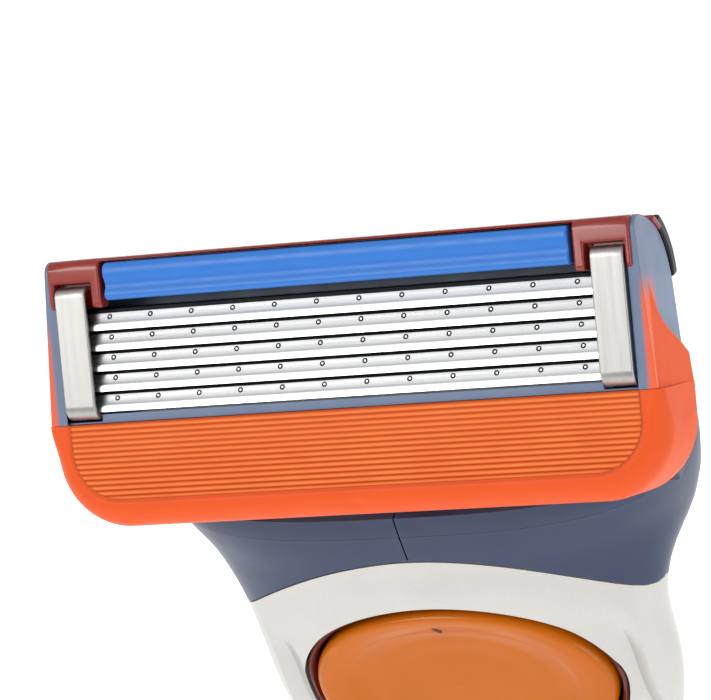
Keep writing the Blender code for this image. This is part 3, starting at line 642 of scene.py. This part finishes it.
def add_blade(number):
    """A blade with a ground facet at its edge and a row of weld craters up its face."""
    edge = FIRST_EDGE_V + BLADE_PITCH * (number - 1)
    face_length, thickness, facet, lift = 1.03, 0.1, 0.36, 0.06
    weld_count, weld_pitch = 12, 2.7
    stations = [(0.0, 0.012, 0.0), (facet * 0.5, -lift * 0.8, 0.0), (facet, -lift, 0.02),
                (facet + 0.06, -lift * 0.7, 0.30), (0.62, -lift * 0.1, 0.45), (0.85, 0.0, 0.75),
                (face_length, 0.0, 1.0), (face_length + 0.02, thickness * 0.5, 1.0),
                (face_length, thickness, 1.0), (0.3, thickness, 1.0), (0.02, 0.03, 1.0)]
    rows = [[(x, *blade_point(edge, along, below)) for along, below, _ in stations]
            for x in (-BLADE_HALF_LENGTH, BLADE_HALF_LENGTH)]
    blade = piece(f"blade_face_{number}", skin(rows, wrap=True, caps=True), f"blade_carrier_{number}",
                  f"blade_{number}", "blade_steel", crease=60, even=False)
    shade = blade.data.attributes.new("along_face", "FLOAT", "POINT").data
    for i, (_, _, value) in enumerate(stations * 2):
        shade[i].value = value
    craters = bmesh.new()
    for i in range(weld_count):
        add_crater(craters, weld_pitch * (i - (weld_count - 1) / 2), edge)
    welds = piece(f"blade_welds_{number}", craters, f"blade_carrier_{number}", f"blade_{number}",
                  "blade_steel", crease=70, paint=WELD_STEEL, even=False)
    welds.data.materials.append(PAINTS["blade_steel"])
    for face in welds.data.polygons:
        face.material_index = 1 if face.index % CRATER_FACES >= CRATER_FACES - CRATER_SIDES else 0


def add_crater(shape, x, edge):
    """A weld: a raised ring of scale round a bright button."""
    along, button_height = 0.80, 0.012
    rings = []
    for radius, below in CRATER_PROFILE:
        ring = []
        for i in range(CRATER_SIDES):
            a = 2 * math.pi * i / CRATER_SIDES
            v, w = blade_point(edge, along + radius * math.sin(a), below)
            ring.append(shape.verts.new((x + radius * math.cos(a), v, w)))
        rings.append(ring)
    for outer, inner in zip(rings, rings[1:]):
        for i in range(CRATER_SIDES):
            j = (i + 1) % CRATER_SIDES
            shape.faces.new((outer[i], outer[j], inner[j], inner[i]))
    v, w = blade_point(edge, along, -button_height)
    centre = shape.verts.new((x, v, w))
    for i in range(CRATER_SIDES):
        shape.faces.new((rings[-1][i], rings[-1][(i + 1) % CRATER_SIDES], centre))


def add_strip():
    """The lubricating strip: two soft ribs with a hollow between them."""
    top = [(8.0, -0.1), (7.97, 0.15), (7.86, 0.34), (7.66, 0.46), (7.4, 0.49), (7.15, 0.44),
           (6.95, 0.33), (6.75, 0.26), (6.55, 0.27), (6.38, 0.35), (6.2, 0.44), (6.02, 0.44),
           (5.87, 0.34), (5.79, 0.15), (5.78, -0.1)]
    outline = [(5.78, -1.5), (8.0, -1.5)] + top
    strip = rounded(prism(outline, "X", -14.72, 14.72), 0.14, 3, 60)
    piece("strip", strip, "blade_unit", "lubricating_strip", "blue_strip", crease=50)


def add_cap():
    """The carrier: a bar behind the strip, a glossy arch over each clip, and the rear trimmer bed."""
    bar = ([(5.75, -0.9), (5.75, -5.9), (6.9, -5.85), (7.4, -5.6), (7.95, -3.6), (8.28, -1.6)]
           + arc((7.95, -0.2), 0.33, 0, 90, 5) + [(7.7, 0.1)])
    back = minus(prism(bar, "X", -18.3, 18.3),
                 block((-15.05, 5.0, -1.55), (15.05, 8.1, 1.0)),
                 *[block((x - 1.1, 5.0, -9.0), (x + 1.1, 6.85, 1.0)) for x in (-CLIP_X, CLIP_X)])
    piece("cap_bar", rounded(back, 0.08, 2, 35), "blade_unit", "trimmer_carrier", "maroon_plastic")
    arch = ([(5.4, -0.7), (8.29, -0.7)] + arc((7.69, -0.22), 0.6, 0, 90, 8) + [(6.0, 0.38)]
            + arc((5.7, 0.08), 0.3, 90, 180, 4))
    tail = ([(5.2, -4.9), (5.2, -5.9), (6.9, -5.85), (7.4, -5.6), (7.9, -3.8), (8.0, -2.6)]
            + arc(BACK_CENTRE, 4.1, -25, -88, 12))
    corner = arc(BACK_CENTRE, 4.05, -42, -24, 8) + arc(BACK_CENTRE, 4.38, -24, -42, 8)
    hook = arc(BACK_CENTRE, 4.08, -86, -30, 14) + arc(BACK_CENTRE, 4.8, -34, -84, 14)
    for side, x in SIDES:
        inner, outer = sorted((x * 15.62, x * 18.08))
        notch = block((inner, 5.0, -0.5), (outer, 6.93, 1.0))
        parts = (("cap_arch", minus(side_prism(arch, x, 15.0, 18.42), notch), 0.13, 45, None),
                 ("cap_tail", side_prism(tail, x, 15.0, 18.3), 0.12, 45, None),
                 ("cap_corner", side_prism(corner, x, 18.0, 18.85), 0.14, 45, None),
                 ("trimmer_hook", side_prism(hook, x, 18.0, 18.85), 0.16, 32, BLACK_PLASTIC))
        for name, shape, radius, crease, paint in parts:
            piece(f"{name}_{side}", rounded(shape, radius, 3, 40), "blade_unit", "trimmer_carrier",
                  "maroon_plastic", crease=crease, paint=paint)


def add_clips():
    """The folded clips, softly rounded over the cap and into the guard."""
    top, bottom, sheet, front = 6.7, -1.2, 0.3, 0.55
    cap_hook, heel_hook = -6.0, -5.25
    outline = ([(bottom + 1.4, heel_hook), (bottom + 1.4, heel_hook + sheet),
                (bottom + sheet, heel_hook + sheet)]
               + arc((bottom + sheet + 0.6, front - sheet - 0.6), 0.6, 180, 90, 6)
               + arc((top - sheet - 0.3, front - sheet - 0.3), 0.3, 90, 0, 5)
               + [(top - sheet, cap_hook + sheet), (top - 1.3, cap_hook + sheet), (top - 1.3, cap_hook)]
               + arc((top - 0.35, cap_hook + 0.35), 0.35, 270, 360, 5)
               + arc((top - 0.6, front - 0.6), 0.6, 0, 90, 8)
               + arc((bottom + 0.9, front - 0.9), 0.9, 90, 180, 10)
               + arc((bottom + 0.35, heel_hook + 0.35), 0.35, 180, 270, 5))
    for side, x in SIDES:
        shape = side_prism(outline, x, CLIP_INNER_X, CLIP_OUTER_X)
        piece(f"clip_band_{side}", rounded(shape, 0.1, 3, 45), "blade_unit", f"clip_{side}",
              "clip_aluminium", crease=50)


# The handle.

def section_at(height):
    """The section's numbers at a height, on smooth curves through the list."""
    rows = HANDLE_SECTIONS
    if height >= rows[0][0]:
        return rows[0][1:]
    index = next(i for i in range(len(rows) - 1) if height >= rows[i + 1][0])
    before, here = rows[max(index - 1, 0)], rows[index]
    there, after = rows[index + 1], rows[min(index + 2, len(rows) - 1)]
    span = there[0] - here[0]
    t = (height - here[0]) / span
    values = []
    for k in range(1, 6):
        start = (there[k] - before[k]) / (there[0] - before[0]) * span
        end = (after[k] - here[k]) / (after[0] - here[0]) * span
        values.append((2 * t**3 - 3 * t**2 + 1) * here[k] + (t**3 - 2 * t**2 + t) * start
                      + (3 * t**2 - 2 * t**3) * there[k] + (t**3 - t**2) * end)
    return values


def on_section(height, angle):
    """A point on the right half of the section, from -90 degrees in front to 90 behind."""
    front_half, back_half, front, back, power = section_at(height)
    middle, depth = (front + back) / 2, (back - front) / 2
    y = middle + depth * math.copysign(abs(math.sin(angle)) ** (2 / power), angle)
    half = front_half + (back_half - front_half) * (y - front) / (back - front)
    return half * abs(math.cos(angle)) ** (2 / power), y


def angle_at(height, x, high, steps):
    """The angle at which the section's front reaches x, found by halving."""
    low = -math.pi / 2
    for _ in range(steps):
        middle = (low + high) / 2
        if on_section(height, middle)[0] < x:
            low = middle
        else:
            high = middle
    return low


def front_facet(height):
    """The flattened front: its ridge's angle, x and y, and the height of its bulge at the centre."""
    front_half, _, front, _, _ = section_at(height)
    ridge_x = min(12.0, 0.8 * front_half)
    ridge_angle = angle_at(height, ridge_x, 0.0, 30)
    ridge_y = on_section(height, ridge_angle)[1]
    return ridge_angle, ridge_x, ridge_y, 0.75 * (ridge_y - front)


def flattened(x, height, round_y):
    """The front's y where its round shape gives way to the facet and the scoops."""
    _, ridge_x, ridge_y, bulge = front_facet(height)
    flat_y = ridge_y - bulge * (1 - abs(x / ridge_x) ** 3)
    return round_y + (flat_y - round_y) * blended(FACET, height) + scoop(x, height)


def scoop(x, z):
    """How far the front dips between the button's rim and the ridge outside it."""
    return SCOOP_DEPTH * blended(SCOOP_ACROSS, abs(x)) * blended(SCOOP_DOWN, z)


def half_outline(height, front_steps, side_steps):
    """The right half of the section, from the front's centre past the ridge to the back's."""
    ridge_angle, ridge_x, _, _ = front_facet(height)
    points = []
    for i in range(front_steps):
        x = ridge_x * i / front_steps
        round_y = on_section(height, angle_at(height, x, ridge_angle, 24))[1] if i else section_at(height)[2]
        points.append((x, flattened(x, height, round_y)))
    samples = 240
    dense = [on_section(height, ridge_angle + (math.pi / 2 - ridge_angle) * i / samples)
             for i in range(samples + 1)]
    runs = [0.0]
    for a, b in zip(dense, dense[1:]):
        runs.append(runs[-1] + math.dist(a, b))
    k = 0
    for i in range(side_steps + 1):
        target = runs[-1] * i / side_steps
        while k < len(runs) - 2 and runs[k + 1] < target:
            k += 1
        t = (target - runs[k]) / (runs[k + 1] - runs[k])
        points.append(tuple(a + (b - a) * t for a, b in zip(dense[k], dense[k + 1])))
    return points


def handle_ring(height, inset=0.0, front_steps=26, side_steps=34):
    half = half_outline(height, front_steps, side_steps)
    ring = half + [(-x, y) for x, y in reversed(half[1:-1])]
    if inset:
        _, _, front, back, _ = section_at(height)
        centre = (front + back) / 2
        widest = max(x for x, _ in half)
        ring = [(x * (1 - inset / widest), centre + (y - centre) * (1 - 2 * inset / (back - front)))
                for x, y in ring]
    return [(x, y, height) for x, y in ring]


def heights(top, bottom, fine, coarse):
    """Heights from top to bottom, in fine steps beside the button and coarse ones below it."""
    values = [top]
    while values[-1] > bottom + 0.01:
        step = fine if values[-1] > -24.0 else coarse
        values.append(max(values[-1] - step, bottom))
    return values


def handle_loft(top, bottom, inset=0.0, fine=0.5, coarse=1.5, **ring_steps):
    return skin([handle_ring(z, inset, **ring_steps) for z in heights(top, bottom, fine, coarse)],
                wrap=True, caps=True)


def hollow(top, bottom):
    """The space inside the shells, a wall's thickness in from their outside."""
    return handle_loft(top, bottom, WALL, front_steps=6, side_steps=14, fine=2.0, coarse=6.0)


def front_y(x, z):
    """The front face's y, inside the ridges."""
    _, ridge_x, ridge_y, _ = front_facet(z)
    front = section_at(z)[2]
    return flattened(x, z, front + (ridge_y - front) * abs(x / ridge_x) ** 2.6)


def below_neck(lift):
    """The space below the seam with the neck: arched in front, falling away to the back."""
    radius, top = 20.0, 3.1 + lift
    outline = (arc((0, top - radius), radius, 20, 160, 90)
               + [(-25, HANDLE_BOTTOM_Z - 9), (25, HANDLE_BOTTOM_Z - 9)])
    slope, knee, drop = 0.5, -2.0, -2.1 + lift
    wedge = [(knee, drop), (21, drop - slope * (21 - knee)), (21, 30), (-21, 30),
             (-21, drop + 6), (knee - 3.2, drop + 5.6)]
    return minus(prism(outline, "Y", -20, 20), prism(wedge, "X", -30, 30))


def oval(margin=0.0, share=1.0):
    """The button's outline in x and z, at a share of its size and with a margin round that."""
    turns = [2 * math.pi * i / BUTTON_SIDES for i in range(BUTTON_SIDES)]
    return [((BUTTON_HALF_WIDTH * share + margin) * math.cos(a),
             BUTTON_Z + (BUTTON_HALF_HEIGHT * share + margin) * math.sin(a)) for a in turns]


def add_shells():
    """The silver front shell and the slate rear shell."""
    top, bottom = 4.4, CAP_JOINT_Z
    front = common(handle_loft(top, bottom), block((-30, -20, -140), (30, SHELL_SPLIT_Y, 20)),
                   below_neck(0.0))
    front = minus(front, hollow(top + 0.6, bottom - 1.0), prism(oval(0.75), "Y", -20, -2.0))
    piece("front_shell", front, "handle", "handle_front_shell", "pearl_silver", WORLD, 25, even=False)
    rear = common(handle_loft(top, bottom), below_neck(0.0),
                  block((-30, SHELL_SPLIT_Y + 0.1, -140), (30, 18, 20)))
    rear = minus(rear, hollow(top + 0.6, bottom - 1.0))
    piece("rear_shell", rear, "handle", "handle_rear_shell", "slate_neck", WORLD, 35, even=False)


def back_y(x, z):
    """The back face's y near the middle of the handle."""
    _, back_half, front, back, power = section_at(z)
    depth = (back - front) / 2
    share = min(abs(x) / back_half, 0.999)
    return (front + back) / 2 + depth * (1 - share**power) ** (1 / power)


def add_rear_grip():
    """The rubber pad: a rounded strip with chevron ribs."""
    half, top, bottom, edge = 4.5, -26.2, -103.8, 0.9
    rib_pitch, rib_height = 2.6, 0.22
    across = [half * math.sin(math.pi / 2 * (i / 14 - 1)) for i in range(29)]
    down = [top - (top - bottom) * i / 300 for i in range(301)]
    rows = []
    for z in down:
        row = []
        for x in across:
            end = min(top - z, z - bottom)
            narrow = half if end > half else math.sqrt(max(half**2 - (half - end) ** 2, 0.04))
            px = x * narrow / half
            inside = min(narrow - abs(px), end)
            rise = blended(((0.0, -0.45), (edge, 0.05)), inside)
            phase = (z + 0.5 * abs(px)) / rib_pitch
            rib = max(math.sin(2 * math.pi * phase), 0.0) ** 0.6
            rise += rib * rib_height * blended(((0.4, 0.0), (1.2, 1.0)), inside)
            row.append((px, back_y(px, z) + rise, z))
        rows.append(row)
    piece("rear_grip_pad", skin(rows), "handle", "rear_grip", "grip_rubber", WORLD, 60, even=False)


def add_end_cap():
    """The butt of the handle, rounded into a small flat foot."""
    top, radius = CAP_JOINT_Z - 0.1, 1.6
    levels = [top, top - 0.5, top - 1.5, top - 2.5]
    rows = [handle_ring(z) for z in levels]
    steps = 12
    for i in range(1, steps + 1):
        a = math.pi / 2 * i / steps
        z = HANDLE_BOTTOM_Z + radius * (1 - math.sin(a))
        rows.append(handle_ring(z, radius * (1 - math.cos(a)) + 0.001))
    piece("butt_cap", skin(rows, wrap=True, caps=True), "handle", "end_cap", "pearl_silver", WORLD, 40,
          even=False)


def seam_slot():
    """A thin groove down the middle of the neck's front."""
    return block((-0.05, -8.0, 3.3), (0.05, -4.2, 7.0))


def add_collar():
    collar = minus(handle_loft(5.0, -12.0, fine=0.4), below_neck(0.1),
                   block((-4.6, -2.3, -20.0), (4.6, 4.85, 9.0)), seam_slot())
    piece("collar", collar, "handle", "neck_collar", "slate_neck", WORLD, 25, even=False)


def add_yoke():
    """The skirt above the collar and its two arms with the trunnions."""
    skirt = minus(handle_loft(6.35, 5.02, fine=0.3), block((-4.6, 1.15, 0), (4.6, 4.85, 9)), seam_slot())
    piece("yoke_skirt", skirt, "connector", "connecting_member", "slate_neck", WORLD, 25, even=False)
    radius, foot = 2.0, 5.5
    arm = [(-2.0, foot)] + arc((PIVOT_Y, PIVOT_Z), radius, 180, 0, 20) + [(PIVOT_Y + radius, foot)]
    for side, x in SIDES:
        piece(f"yoke_arm_{side}", rounded(side_prism(arm, x, 14.9, 17.1), 0.2, 3, 40), "connector",
              "connecting_member", "slate_neck", WORLD)
        pin = side_prism(arc((PIVOT_Y, PIVOT_Z), 1.0, 0, 350, 35), x, 12.8, 15.2)
        piece(f"trunnion_{side}", rounded(pin, 0.15, 2, 50), "connector", "connecting_member",
              "slate_neck", WORLD)


def add_bezel():
    """The dark ring that lines the hole round the button, from rings of (margin, depth)."""
    back, outer, inner = -3.4, 0.66, 0.12
    profile = ((outer, 0.42), (0.62, 0.34), (0.52, 0.32), (0.36, 0.45), (0.22, 0.75), (0.14, 1.2))
    rows = [[(x, front_y(x, z) + depth, z) for x, z in oval(margin)] for margin, depth in profile]
    outer_back, inner_back = ([(x, back, z) for x, z in oval(margin)] for margin in (outer, inner))
    shape = skin([outer_back] + rows + [inner_back, outer_back], wrap=True)
    bmesh.ops.remove_doubles(shape, verts=shape.verts, dist=1e-5)
    piece("bezel_ring", shape, "handle", "button_bezel", "oxblood_bezel", WORLD, 50, even=False)


def add_button():
    """The dished oval button, its stem and the small pip below its upper edge."""
    shares = [0.02] + [i / 26 for i in range(1, 21)] + [0.79, 0.82, 0.85, 0.88, 0.91, 0.935, 0.95,
                                                       0.962, 0.974, 0.984, 0.992, 1.0]
    rows = [[(x, front_y(x, z) + blended(DISH, share), z) for x, z in oval(share=share)]
            for share in shares]
    rows.append([(x, -4.3, z) for x, _, z in rows[-1]])
    piece("button_cap", skin(rows, wrap=True, caps=True), "button", "release_button", "amber_button",
          WORLD, 50, even=False)
    low, high = BUTTON_Z - 2.1, BUTTON_Z + 1.9
    stem = [(-4.6, low), (-0.25, low), (-2.25, high), (-4.6, high)]
    piece("button_stem", rounded(prism(stem, "X", -2.6, 2.6), 0.1, 2, 40), "button", "release_button",
          "amber_button", WORLD)
    pip = bmesh.new()
    bmesh.ops.create_icosphere(pip, subdivisions=3, radius=1.0)
    pip.transform(Matrix.Translation((-0.15, front_y(0, -2.4) + blended(DISH, 0.79) + 0.02, -2.42))
                  @ Matrix.Rotation(math.radians(42), 4, "Y")
                  @ Matrix.Diagonal((0.42, 0.09, 0.17, 1.0)))
    piece("button_pip", pip, "button", "release_button", "oxblood_bezel", WORLD, 60, even=False)


def paint_carried_nodes():
    """Give every CAD node that still shows its procedural material."""
    slots = {part["node"]: part["material_slot"] for part in frame["record"]["subparts"]}
    for name, thing in frame["nodes"].items():
        thing.data.materials.clear()
        thing.data.materials.append(PAINTS[slots[name]])


# The studio.

def add_floor():
    size = 3.0
    z = CAD_BOX[0][2]
    shape = bmesh.new()
    bmesh.ops.create_grid(shape, x_segments=8, y_segments=8, size=size)
    bmesh.ops.translate(shape, vec=(0, 0, z), verts=shape.verts)
    floor = as_object("floor", shape)
    paint = Paint("pale_floor", (0.90, 0.90, 0.89), 0.8)
    paint.vary(0.02, 0.3, (0.86, 0.86, 0.85))
    paint.grain(0.5, 0.02)
    paint.shader.inputs["Emission Color"].default_value = (1.0, 0.995, 0.985, 1.0)
    paint.shader.inputs["Emission Strength"].default_value = 0.55
    floor.data.materials.append(paint.material)


def add_light(name, place, target, size, watts, colour=(1, 1, 1)):
    lamp = bpy.data.lights.new(name, "AREA")
    lamp.shape = "RECTANGLE"
    lamp.size, lamp.size_y = size
    lamp.energy = watts
    lamp.color = colour
    thing = bpy.data.objects.new(name, lamp)
    thing.location = place
    thing.rotation_euler = (Vector(target) - Vector(place)).to_track_quat("-Z", "Y").to_euler()
    bpy.context.scene.collection.objects.link(thing)


def add_studio():
    add_floor()
    world = bpy.context.scene.world or bpy.data.worlds.new("studio")
    bpy.context.scene.world = world
    world.use_nodes = True
    back = world.node_tree.nodes["Background"]
    back.inputs["Color"].default_value = (0.95, 0.97, 1.0, 1.0)
    back.inputs["Strength"].default_value = 0.48
    aim = (0, 0, 0.005)
    add_light("key", (-0.30, -0.364, 0.518), aim, (0.36, 0.34), 2.1, (1.0, 0.985, 0.96))
    add_light("fill", (0.55, -0.25, 0.10), aim, (0.4, 0.3), 0.7, (0.96, 0.98, 1.0))
    add_light("top", (-0.22, -0.10, 0.66), aim, (0.35, 0.3), 0.22)
    add_light("rim", (0.15, 0.50, 0.45), aim, (0.4, 0.25), 0.8)
    bpy.context.scene.view_settings.view_transform = "Standard"


def add_camera():
    """A long lens on the head, from the right and above, turned a little about its axis."""
    target = Vector((0.682, -1.825, 17.087)) * MM
    azimuth, elevation, roll = math.radians(32.10), math.radians(36.77), math.radians(-24.57)
    distance, sensor, lens = 0.250, 36.0, 221.0
    away = Vector((math.sin(azimuth) * math.cos(elevation), -math.cos(azimuth) * math.cos(elevation),
                   math.sin(elevation)))
    lens_data = bpy.data.cameras.new("camera")
    lens_data.sensor_width = sensor
    lens_data.lens = lens
    lens_data.clip_start = 0.01
    camera = bpy.data.objects.new("camera", lens_data)
    facing = (-away).to_track_quat("-Z", "Y")
    camera.rotation_mode = "QUATERNION"
    camera.rotation_quaternion = facing @ Matrix.Rotation(roll, 3, "Z").to_quaternion()
    camera.location = target + away * distance
    bpy.context.scene.collection.objects.link(camera)
    bpy.context.scene.camera = camera


add_camera()
add_housing()
add_guard()
for blade_number in range(1, BLADE_COUNT + 1):
    add_blade(blade_number)
add_strip()
add_cap()
add_clips()
add_yoke()
add_collar()
add_shells()
add_rear_grip()
add_end_cap()
add_bezel()
add_button()
paint_carried_nodes()
add_studio()
